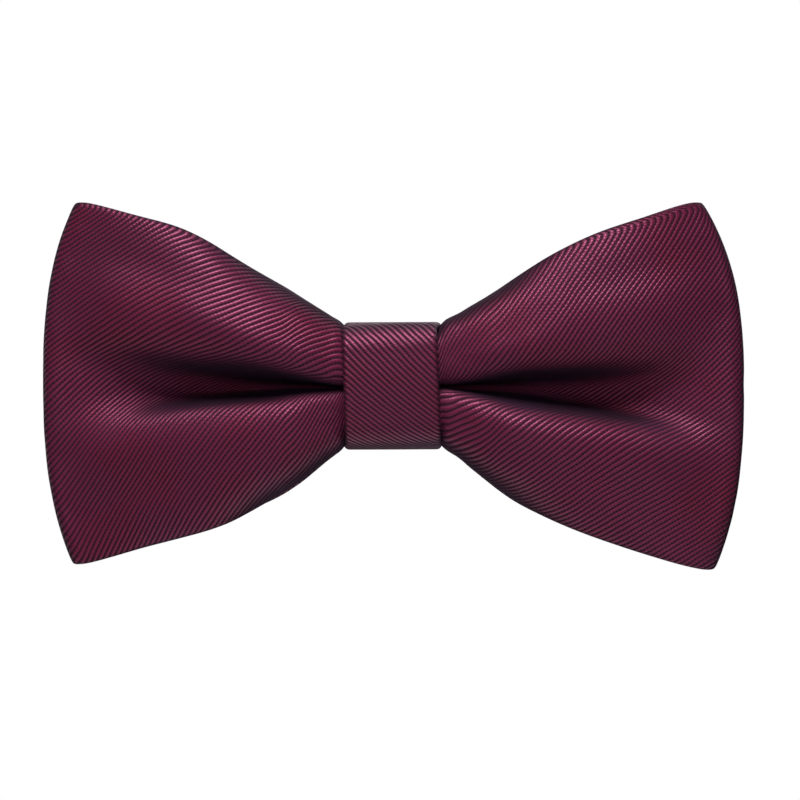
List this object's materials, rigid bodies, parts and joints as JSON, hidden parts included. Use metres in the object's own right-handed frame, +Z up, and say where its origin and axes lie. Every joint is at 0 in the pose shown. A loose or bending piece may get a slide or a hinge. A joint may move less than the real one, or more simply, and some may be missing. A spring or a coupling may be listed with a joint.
{
  "type": "bow tie",
  "caption": "Pre-tied clip-on bow tie: pinched twill wings, a wrapped knot band and a sprung collar clip whose jaws open from thumb tabs behind the knot.",
  "frame": {"origin": "middle of the clip, on the rear face of its arms, where the collar bears", "axes": "+X across the bow, -Y out of the bow's front, +Y towards the wearer, +Z up"},
  "size_m": [0.12, 0.0246, 0.0624],
  "materials": {
    "bow_twill": "woven twill, crimson ribs over a navy ground",
    "knot_twill": "woven twill, crimson ribs over a navy ground",
    "stiffener": "matt woven interlining",
    "thread": "matt sewing thread",
    "plated_steel": "satin nickel plate",
    "pin_steel": "bright steel",
    "spring_wire": "bright drawn wire",
    "grip_pad": "soft translucent vinyl"
  },
  "bodies": {
    "tie": {"bow_shell": "bow_twill", "bow_interlining": "stiffener", "bow_end_stitches": "thread", "waist_thread": "thread", "knot_band": "knot_twill", "knot_interlining": "stiffener", "knot_stitches": "thread", "clip_base": "plated_steel", "left_pin": "pin_steel", "right_pin": "pin_steel", "left_spring": "spring_wire", "right_spring": "spring_wire"},
    "left_jaw": {"left_jaw": "plated_steel", "left_jaw_pad": "grip_pad"},
    "right_jaw": {"right_jaw": "plated_steel", "right_jaw_pad": "grip_pad"}
  },
  "joints": [
    {"name": "left_jaw_hinge", "type": "hinge", "parent": "tie", "child": "left_jaw", "pos_m": [-0.0132, 0.00195, 0], "axis": [0, 0, -1], "range_deg": [0, 28], "stiffness_Nm_per_rad": 0.012, "springref_deg": -114.59, "deforming": ["left_spring"]},
    {"name": "right_jaw_hinge", "type": "hinge", "parent": "tie", "child": "right_jaw", "pos_m": [0.0132, 0.00195, 0], "axis": [0, 0, 1], "range_deg": [0, 28], "stiffness_Nm_per_rad": 0.012, "springref_deg": -114.59, "deforming": ["right_spring"]}
  ]
}
